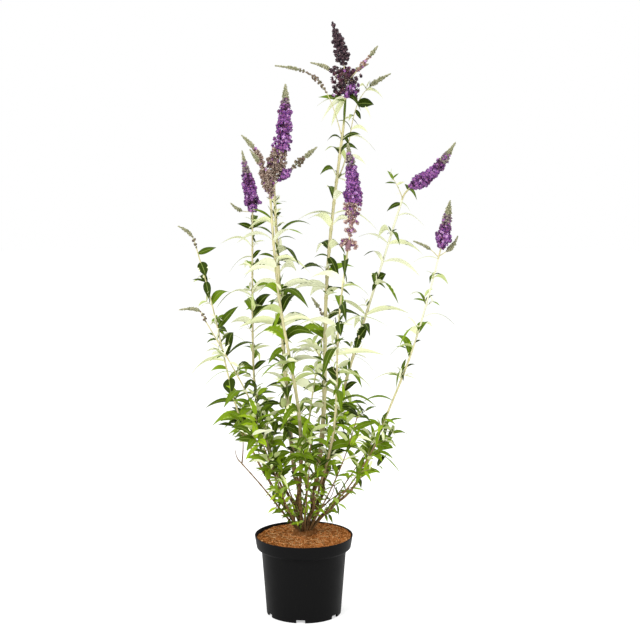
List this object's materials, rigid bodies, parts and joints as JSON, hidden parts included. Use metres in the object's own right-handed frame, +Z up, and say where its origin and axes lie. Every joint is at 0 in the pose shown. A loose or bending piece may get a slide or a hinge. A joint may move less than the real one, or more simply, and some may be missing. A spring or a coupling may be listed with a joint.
{
  "type": "potted butterfly bush",
  "caption": "Flowering butterfly bush in a round black nursery pot: upright leafy canes fan out of a woody stool and end in pointed purple flower spikes.",
  "frame": {"origin": "centre of the pot's flat underside", "axes": "+Z up through the pot and the plant, +X to the right and -Y towards the viewer of the front view"},
  "size_m": [0.659, 0.5154, 1.3735],
  "materials": {
    "pot_plastic": "matt black, slightly satin on the rim",
    "compost": "loose reddish-brown bark and fibre",
    "bark": "dull brown bark",
    "foliage": "dark green leaves, pale and felted below, on pale canes",
    "blossom": "matt violet florets with grey-green buds and brown spent whorls"
  },
  "bodies": {
    "root": {"pot": "pot_plastic", "compost": "compost", "stool": "bark", "bough_left_outer": "bark", "bough_left_front": "bark", "bough_left": "bark", "bough_left_middle": "bark", "bough_centre_left": "bark", "bough_centre": "bark", "bough_centre_front": "bark", "bough_right_back": "bark", "bough_right": "bark", "bough_back": "bark", "cane_left_outer": "foliage", "cane_left_front": "foliage", "cane_left": "foliage", "cane_left_middle": "foliage", "cane_centre_left": "foliage", "cane_centre": "foliage", "cane_centre_front": "foliage", "cane_right_back": "foliage", "cane_right": "foliage", "cane_back": "foliage", "shoot_low_left": "foliage", "shoot_low_left_back": "foliage", "shoot_low_left_front": "foliage", "shoot_low_front": "foliage", "shoot_low_right_front": "foliage", "shoot_low_right_outer": "foliage", "shoot_low_right": "foliage", "shoot_low_back_right": "foliage", "shoot_low_back_left": "foliage", "shoot_top_right": "foliage", "head_left_outer": "blossom", "head_left_front": "blossom", "head_left": "blossom", "head_left_middle": "blossom", "head_centre_left": "blossom", "head_centre": "blossom", "head_centre_front": "blossom", "head_right_back": "blossom", "head_right": "blossom", "head_back": "blossom"}
  },
  "joints": []
}
